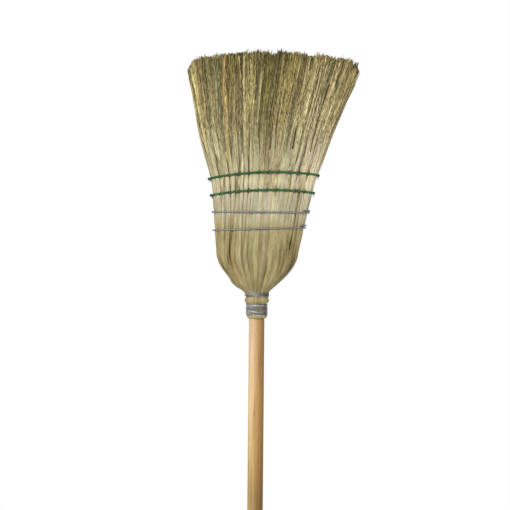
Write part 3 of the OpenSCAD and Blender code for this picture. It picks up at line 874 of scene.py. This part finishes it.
def fibre_fan(layer, bunches):
    """Fine fibres that leave each stalk above the wires, in clumps that splay to the tips."""
    clumps = Clumps(layer)
    own = np.repeat(np.arange(clumps.count), layer.per_clump)
    n = len(own)
    stem_share = layer.share[clumps.stem][own]
    bundle = bundle_of(stem_share)
    start_z = clumps.start_z[own] + rng.uniform(*FIBRE_STARTS, n)
    short = broken_off(n, *SHORT_FIBRES) + np.abs(rng.normal(0, 1.6, n))
    tip_z = TIP_Z - CUT_BELOW + BUNDLE_CUTS[bundle] + clumps.cut[own] - short
    z = start_z[:, None] + (tip_z - start_z)[:, None] * np.linspace(0, 1, FIBRE_LEVELS) ** 0.9
    up = (z - start_z[:, None]) / (TIP_Z - start_z[:, None])

    stray = rng.choice(STRAYS, n, p=STRAY_ODDS)
    fan = rng.normal(0, 1, n) * stray + rng.normal(0, FAN_MM, clumps.count)[own]
    aside = fan[:, None] * up ** 1.1 + clumps.wave[own] * up
    aside = aside + waves(n, FIBRE_LEVELS, 0.5, 11) * up ** 0.5
    aside = aside + waves(n, FIBRE_LEVELS, 1.0, 3) * stray[:, None] * 0.45 * up
    home = stem_share + clumps.share[own]
    share = mix(stem_share[:, None], home[:, None], mix(0.7, 1, ease(0, 0.3, up)))
    share = share + aside / girth(z)
    sink = (clumps.sink[own] + rng.normal(0, 0.6, n))[:, None] + clumps.deep_wave[own]
    depth = np.interp(ROW_HIGH_Z, LAYER_Z, layer.depth) + FIBRE_RADII[-1] + (sink - 0.6) * up
    depth = depth + 0.9 * (1 - ease(0, 0.15, up))
    share, depth = settle(share, depth, z, stem_share)
    share, depth, lit = cluster(share, depth, z, home)
    share, depth, lit_in_crease = creased(share, depth, z)
    lit = lit * lit_in_crease
    depth = np.maximum(depth, -LOOSEST_MM)

    r = rng.choice(FIBRE_RADII, n)[:, None] * mix(*FIBRE_SWELL, up)
    tint = clumps.tints[own] * 1.6 * np.exp(-np.abs(rng.normal(0, 0.52, (n, 1))) ** 1.2)
    straw = (clumps.straw[own] * rng.uniform(0.8, 1.1, (n, 1)) / tint)[:, None]
    tints = strand_tints(tint, share, z, 0.14, tip_z, 14) * warm(lit)
    turn_z = (clumps.start_z + rng.normal(0, 20, clumps.count))[own][:, None]
    tints = tints * mix(straw, 1, ease(turn_z, turn_z + TURN_H, z)[..., None])
    add_by_bundle(bunches, bundle, (share, depth, z), r, r, tints, 5, LEAST_DEPTH)
    # Branchlets take their fibre's tint, darkened by the mean of its painted shade
    branchlets(share, depth, z, tip_z, bundle, tint * lit.mean(1)[:, None], bunches)


BRANCHES_PER_FIBRE = 1.7
BRANCH_LEVELS, BRANCH_LEAVES = 8, (6, FIBRE_LEVELS - 3)
BRANCH_LENGTHS, BRANCH_SLANT, BRANCH_LIFTS = (14, 48), 0.14, (-0.03, 0.02)
BRANCH_RADII, BRANCH_SWELL = (0.28, 0.45), (1.1, 0.7)
LOOSEST_BRANCH_MM = 2.2


def branchlets(share, depth, z, tip_z, bundle, tint, bunches):
    """Short hair-fine side fibres that leave a fibre at a small angle and cross its neighbours."""
    own = rng.integers(0, len(share), int(BRANCHES_PER_FIBRE * len(share)))
    n = len(own)
    level = rng.integers(*BRANCH_LEAVES, n)
    z0, share0, depth0 = (value[own, level][:, None] for value in (z, share, depth))
    s = np.linspace(0, 1, BRANCH_LEVELS)
    run = rng.uniform(*BRANCH_LENGTHS, n)[:, None] * s
    z = np.minimum(z0 + run, tip_z[own][:, None] + 1 - 0.2 * (1 - s))
    aside = rng.normal(0, BRANCH_SLANT, n)[:, None] * run + waves(n, BRANCH_LEVELS, 0.5, 4) * s
    share = share0 + aside / girth(z)
    lift = rng.uniform(*BRANCH_LIFTS, n)[:, None] * run
    depth = np.maximum(depth0 + lift, -LOOSEST_BRANCH_MM)
    r = rng.uniform(*BRANCH_RADII, n)[:, None] * mix(*BRANCH_SWELL, s)
    tints = strand_tints(tint[own] * 1.06, share, z, 0.12, tip_z[own], 4)
    add_by_bundle(bunches, bundle[own], (share, depth, z), r, r, tints, 4, LEAST_DEPTH)


def make_hurl(material):
    bunches = {node: Bunch() for node in BUNDLE_NODES}
    for layer in [Stems(*row) for row in LAYERS]:
        z, share, depth, across, through, lit = layer.paths()
        tints = strand_tints(layer.tints, share, z, 0.06) * warm(lit)
        add_by_bundle(bunches, bundle_of(layer.share), (share, depth, z), across, through, tints,
                      8, -LOOSEST_MM)
        fibre_fan(layer, bunches)
    for node, bunch in bunches.items():
        bunch.build(node + "_corn", material, node, "broomcorn")


INNER_COUNT, INNER_LEVELS = 1500, 16
INNER_RADII, INNER_SWELL = (0.6, 1.1), (1.2, 0.8)
INNER_SPREAD = EDGE_SHARE + 0.1
NOTCH_SHARES = (0.04, 0.25, 0.46)
INNER_CUT_BELOW = 3

# Half sizes of the inside corn: where it is tied, at the rows and at the tips
TIED_R, CORE_HALF_T, CORE_TIP_HALF_T = 15, 9.5, 19
CORE_WIDENS, CORE_THINS = (NECK_TOP_Z + 26, NECK_TOP_Z + 90), (NECK_TOP_Z + 54, ROW_LOW_Z)
CORE_UNDER = 2


def make_inner_corn(material):
    """Stalks behind the hurl: tied to the handle, and seen between the tips."""
    low_z = corner("inside_corn", 0, "z")
    u = rng.uniform(-1, 1, INNER_COUNT) * INNER_SPREAD
    v = rng.uniform(-1, 1, INNER_COUNT)
    uneven = rng.normal(0, 1.5, INNER_COUNT) - np.abs(rng.normal(0, 4, INNER_COUNT))
    tip_z = TIP_Z - INNER_CUT_BELOW + uneven - notched(np.interp(u, (-1, 0, 1), NOTCH_SHARES))
    s = np.linspace(0, 1, INNER_LEVELS)
    z = low_z + (tip_z - low_z)[:, None] * s
    flared = ease(ROW_HIGH_Z, TIP_Z, z)
    core_w = mix(TIED_R, half_w(z) - CORE_UNDER, ease(*CORE_WIDENS, z))
    core_t = mix(TIED_R, mix(CORE_HALF_T, CORE_TIP_HALF_T, flared), ease(*CORE_THINS, z))
    x = u[:, None] * core_w
    y = v[:, None] * core_t * np.sqrt(np.maximum(1 - u[:, None] ** 2, 0.1))
    reach = np.hypot(x, y)
    clear = np.maximum(reach, (HANDLE_R + 1) * (z < HANDLE_TOP_Z)) / np.maximum(reach, 0.1)
    x = x * clear + waves(INNER_COUNT, INNER_LEVELS, 1.0, 4) * flared
    paths = leaned(x, y * clear, z)
    r = rng.uniform(*INNER_RADII, INNER_COUNT)[:, None] * mix(*INNER_SWELL, s)
    share = np.broadcast_to(0.25 + 0.2 * u[:, None], z.shape)
    # The inside corn is drawn darker, at 0.8: a painted shade for corn that lies behind the hurl
    plain = corn_tints(FIBRES, INNER_COUNT, 0.15, 0.8)
    tints = strand_tints(plain, share, z, 0.12, tip_z, 10)
    parts = {"inside_corn": np.abs(u) < INSIDE_SHARE,
             "shoulder_corn_left": u <= -INSIDE_SHARE, "shoulder_corn_right": u >= INSIDE_SHARE}
    for node, own in parts.items():
        bunch = Bunch()
        bunch.add(paths[own], r[own], r[own], tints[own], 5, (0, 1, 0))
        bunch.build(node + "_stalks", material, node, "inner_corn")


# --- Handle ---

def add_tube(bunch, path, radius, sides, up=(0, 0, 1), shade=1):
    """One round tube; radius and shade are numbers, or one for each point."""
    r = np.full((1, len(path)), radius)
    tints = np.ones((1, len(path), 3)) * np.reshape(shade, (1, -1, 1))
    bunch.add(path[None], r, r, tints, sides, up)


BUTT_RINGS = (0.6, 4)
HANDLE_SIDES = 64


def make_handle(material):
    """A dowel with a rounded butt and a long taper at its buried end."""
    butt = [(r, 0) for r in BUTT_RINGS]
    rim = [(HANDLE_R - BUTT_ROUND * (1 - math.sin(a)), BUTT_ROUND * (1 - math.cos(a)))
           for a in np.linspace(0, np.pi / 2, 8)]
    heights = np.linspace(BUTT_ROUND, HANDLE_TOP_Z - HANDLE_TAPER_H, 60)[1:]
    rows = butt + rim + [(HANDLE_R, z) for z in heights] + [(HANDLE_END_R, HANDLE_TOP_Z)]
    r, z = np.array(rows).T
    bunch = Bunch()
    add_tube(bunch, np.stack([0 * z, 0 * z, z], -1), r, HANDLE_SIDES, (0, -1, 0))
    bunch.build("handle_dowel", material, "handle", "handle_wood")


# --- Wire and twine ---

def around(angle, z, gap, rise=0):
    """Points at an angle around the head, lifted off its surface by a gap."""
    p = 2 / roundness(z)
    u, v = (np.sign(c) * np.abs(c) ** p for c in (np.cos(angle), np.sin(angle)))
    x, y = (half_w(z) + gap) * u, (half_t(z) + gap) * v
    return np.stack([x + lean(z), y, z - fall(np.minimum(np.abs(u), 1), z) + rise * u], -1)


# Height of the neck wire above the foot, by turn. On the front the lower winding parts.
NECK_WIRE_TURNS = (0, 3.5, 4.0, 4.3, 5.3, 6.3, 7.3, 8.3, 9.3, 10.3, 11.3, 12.3, 12.5, 12.85)
NECK_WIRE_HEIGHTS = (41.6, 35.8, 22.6, 22.0, 19.9, 17.8, 15.7, 13.6, 11.5, 9.4, 7.3, 5.0, 4.6,
                     -4.2)
PARTED_HEIGHTS = (41.6, 35.8, 22.6, 22.3, 20.6, 18.9, 15.3, 11.7, 9.9, 8.2, 6.5, 4.8, 4.5, -4.2)
PARTED_TURN, PARTED_WIDE = 0.285, 0.1
WIRE_SIDES, WIRE_GAP = 12, 0.1

# Where the wire steps down from the stalks to the handle
WIRE_DROPS = (FOOT_Z - 3.6, FOOT_Z - 0.7)

# Painted light and shade of the wire by share of a turn, from the left over the front to the right
# and back: lit on the front left, shaded towards the right
UPPER_TURNS = 3.7
LIGHT_AND_SHADE_TURNS = (0, 0.04, 0.1, 0.2, 0.28, 0.36, 0.5, 1)
UPPER_LIGHT_AND_SHADE = (0.6, 0.75, 0.8, 0.8, 0.62, 0.48, 0.42, 0.6)
LOWER_LIGHT_AND_SHADE = (0.5, 0.9, 1.6, 1.2, 0.85, 0.75, 0.6, 0.7)


def make_neck_wire(material):
    turn = np.linspace(0, NECK_WIRE_TURNS[-1], 640)
    part = np.mod(turn, 1)
    parted = bell(part - PARTED_TURN, PARTED_WIDE)
    plain = np.interp(turn, NECK_WIRE_TURNS, NECK_WIRE_HEIGHTS)
    z = FOOT_Z + mix(plain, np.interp(turn, NECK_WIRE_TURNS, PARTED_HEIGHTS), parted)
    r = mix(HANDLE_R, neck_r(z), ease(*WIRE_DROPS, z)) + NECK_WIRE_R + WIRE_GAP
    a = 2 * np.pi * turn + np.pi
    path = np.stack([r * np.cos(a), r * np.sin(a), z], -1)
    # Painted light and shade around each turn, then uneven patches of the wire's tone
    shade = np.where(turn < UPPER_TURNS, np.interp(part, LIGHT_AND_SHADE_TURNS, UPPER_LIGHT_AND_SHADE),
                     np.interp(part, LIGHT_AND_SHADE_TURNS, LOWER_LIGHT_AND_SHADE))
    shade = shade * np.exp(waves(1, len(turn), 0.3, 70))
    bunch = Bunch()
    add_tube(bunch, path, NECK_WIRE_R, WIRE_SIDES, shade=shade)
    bunch.build("neck_winding", material, "neck_wire", "galvanised_wire")


# A band's ends pass each other at the right edge, and the band stands off at both edges
BAND_ENDS = math.radians(30)
BAND_SEAT, BAND_LOOSE, BAND_SHADE = 0.5, 1.6, 0.74


def make_band(node, level, rise, material):
    a = np.linspace(-BAND_ENDS, 2 * np.pi + BAND_ENDS, 360)
    lift = BAND_OVERLAP * (1 - ease(BAND_ENDS, np.pi - BAND_ENDS, a))
    loose = BAND_LOOSE * np.abs(np.cos(a)) ** 8
    path = around(a, level + lift, BAND_WIRE_R - BAND_SEAT + loose, rise)
    bunch = Bunch()
    add_tube(bunch, path, BAND_WIRE_R, WIRE_SIDES, shade=BAND_SHADE)
    bunch.build(node + "_wire", material, node, "galvanised_wire")


PLIES, PLY_R, PLY_SIDES, PLY_OFFSET, PLY_PITCH = 3, 0.93, 7, 0.85, 9.0
TWINE_SEAT = 0.4
KNOT_ANGLES = (186, 354)


def make_row(node, level, rise, bow, material):
    """One row: twine around the head, its stitches, and a knot at each end of the front."""
    bunch = Bunch()
    a = np.linspace(0, 2 * np.pi, 520)
    core = around(a, level, TWINE_R - TWINE_SEAT, rise)
    core[:, 2] += bow * np.cos(a) ** 2
    paths = twist(core)
    r = np.full(paths.shape[:2], PLY_R)
    tints = np.ones((*r.shape, 3)) * np.exp(waves(1, len(a), 0.22, 90))[..., None]
    bunch.add(paths, r, r, tints, PLY_SIDES)
    for i in range(BUNDLES + 1):
        add_stitch(bunch, EDGE_SHARE * (2 * i / BUNDLES - 1), level, rise, bow)
    for angle in KNOT_ANGLES:
        spot = around(np.radians([angle - 1, angle, angle + 1]), level, TWINE_R, rise)
        add_knot(bunch, spot[1] + (0, 0, bow), unit(spot[2] - spot[0]))
    bunch.build(node + "_twine", material, node, "green_twine")


def frame_of(along):
    """Two directions square to a path: to its side, and upwards."""
    side = unit(np.cross(along, (0, 0, 1.0)))
    return side, np.cross(side, along)


def twist(core):
    """Strands laid around a core path like the plies of a twine."""
    run = np.concatenate([[0], np.cumsum(np.linalg.norm(np.diff(core, axis=0), axis=1))])
    side, up = frame_of(unit(np.gradient(core, axis=0)))
    a = 2 * np.pi * (run[None] / PLY_PITCH + np.arange(PLIES)[:, None] / PLIES)
    return core + PLY_OFFSET * (np.cos(a)[..., None] * side + np.sin(a)[..., None] * up)


# A stitch loops out over the row, up and a little sideways, from its seat in the corn. Its twine is
# drawn at half tint, a painted shade.
STITCH_R, STITCH_PAINTED_SHADE, STITCH_SEAT = 0.85, 0.5, 1.2
STITCH_OUT, STITCH_UP, STITCH_ASIDE, STITCH_PAST = 3.4, 2.6, 0.9, 0.9


def add_stitch(bunch, u, level, rise, bow):
    """The twine comes out under the row, crosses it and goes back in above, on both faces."""
    n = roundness(level)
    surface = half_t(level) * (1 - abs(u) ** n) ** (1 / n)
    x = u * half_w(level) + lean(level)
    z = level - fall(abs(u), level) + rise * u + bow * u * u
    s = np.linspace(-np.pi / 2 - STITCH_PAST, np.pi / 2 + STITCH_PAST, 26)
    for face in (-1, 1):
        y = face * (surface - STITCH_SEAT + STITCH_OUT * np.cos(s))
        loop = np.stack([x + STITCH_ASIDE * np.sin(s), y, z + STITCH_UP * np.sin(s)], -1)
        add_tube(bunch, loop, STITCH_R, 8, (1, 0, 0), STITCH_PAINTED_SHADE)


# A knot is a coil on the row's cord, and a cut end that runs on, down and to the side
COIL_TURNS, COIL_R, COIL_HALF, COIL_STRAND_R = 2.5, 1.7, 1.6, 0.85
END_ON, END_DOWN, END_ASIDE, END_R = 2.5, 5.5, 0.8, 0.7


def add_knot(bunch, centre, along):
    side, up = frame_of(along)
    turn = np.linspace(0, 2 * np.pi * COIL_TURNS, 60)[:, None]
    ring = COIL_R * (np.cos(turn) * side + np.sin(turn) * up)
    coil = centre + ring + along * np.linspace(-COIL_HALF, COIL_HALF, 60)[:, None]
    add_tube(bunch, coil, COIL_STRAND_R, 8, up)
    s = np.linspace(0, 1, 8)[:, None]
    end = coil[-1] + along * END_ON * s - np.array([0, 0, END_DOWN]) * s ** 1.3
    add_tube(bunch, end + side * END_ASIDE * s, END_R, 7, side)


# --- Stage ---

FLOOR_HALF = 4.4
CAMERA_AWAY = 3.0
VIEW_WIDTH = 0.8303
VIEW_CENTRE = (-0.0036, 1.0866)
ROLL = math.radians(-0.5)

# Name, place and target in metres, size and watts
LIGHTS = (("key", (-1.6, -2.8, 2.9), (0, 0, 1.25), 1.2, 112),
          ("fill", (2.2, -2.4, 2.4), (0.05, 0, 1.35), 1.0, 34),
          ("back", (-0.8, 3.4, 2.4), (0, 0, 1.1), 1.6, 80))
WORLD_AS_LIGHT, WORLD_SEEN = 0.45, 1.0


def make_floor():
    mesh = bpy.data.meshes.new("floor")
    corners = [(FLOOR_HALF * x, FLOOR_HALF * y, 0) for x, y in ((-1, -1), (1, -1), (1, 1), (-1, 1))]
    mesh.from_pydata(corners, [], [range(4)])
    mesh.materials.append(floor_material())
    add_object("floor", mesh)


def make_camera():
    data = bpy.data.cameras.new("camera")
    data.sensor_width = 36
    data.lens = data.sensor_width * CAMERA_AWAY / VIEW_WIDTH
    camera = add_object("camera", data)
    camera.location = (VIEW_CENTRE[0], -CAMERA_AWAY, VIEW_CENTRE[1])
    camera.rotation_euler = (math.pi / 2, ROLL, 0)
    bpy.context.scene.camera = camera


def make_area_light(name, place, target, size, watts):
    data = bpy.data.lights.new(name, "AREA")
    data.energy = watts
    data.size = size
    light = add_object(name, data)
    light.location = place
    away = np.array(target, float) - np.array(place, float)
    light.rotation_euler = (math.atan2(math.hypot(*away[:2]), -away[2]), 0,
                            math.atan2(-away[0], away[1]))


def make_world():
    """White to the camera, softer as a light."""
    world = bpy.data.worlds.new("studio")
    bpy.context.scene.world = world
    world.use_nodes = True
    tree = world.node_tree
    background = set_inputs(tree.nodes["Background"], Color=(1, 1, 1, 1))
    path = tree.nodes.new("ShaderNodeLightPath")
    strength = add_node(tree, "ShaderNodeMapRange", To_Min=WORLD_AS_LIGHT, To_Max=WORLD_SEEN)
    tree.links.new(path.outputs["Is Camera Ray"], strength.inputs["Value"])
    tree.links.new(strength.outputs["Result"], background.inputs["Strength"])


bpy.context.scene.view_settings.view_transform = "Standard"
make_camera()
make_world()
for light in LIGHTS:
    make_area_light(*light)
make_floor()

make_hurl(corn_material("broomcorn"))
make_inner_corn(corn_material("inner_corn"))
make_handle(wood_material())
wire = galvanised_material()
make_neck_wire(wire)
make_band("wire_band_lower", BAND_LOW_Z, BAND_LOW_RISE, wire)
make_band("wire_band_upper", BAND_HIGH_Z, 0, wire)
twine = twine_material()
make_row("stitch_row_lower", ROW_LOW_Z, ROW_LOW_RISE, ROW_LOW_BOW, twine)
make_row("stitch_row_upper", ROW_HIGH_Z, ROW_HIGH_RISE, ROW_HIGH_BOW, twine)
for carried in ("binding_wire", "wire_nail"):
    carried_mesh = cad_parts[carried].data
    carried_mesh.materials.clear()
    carried_mesh.materials.append(wire)
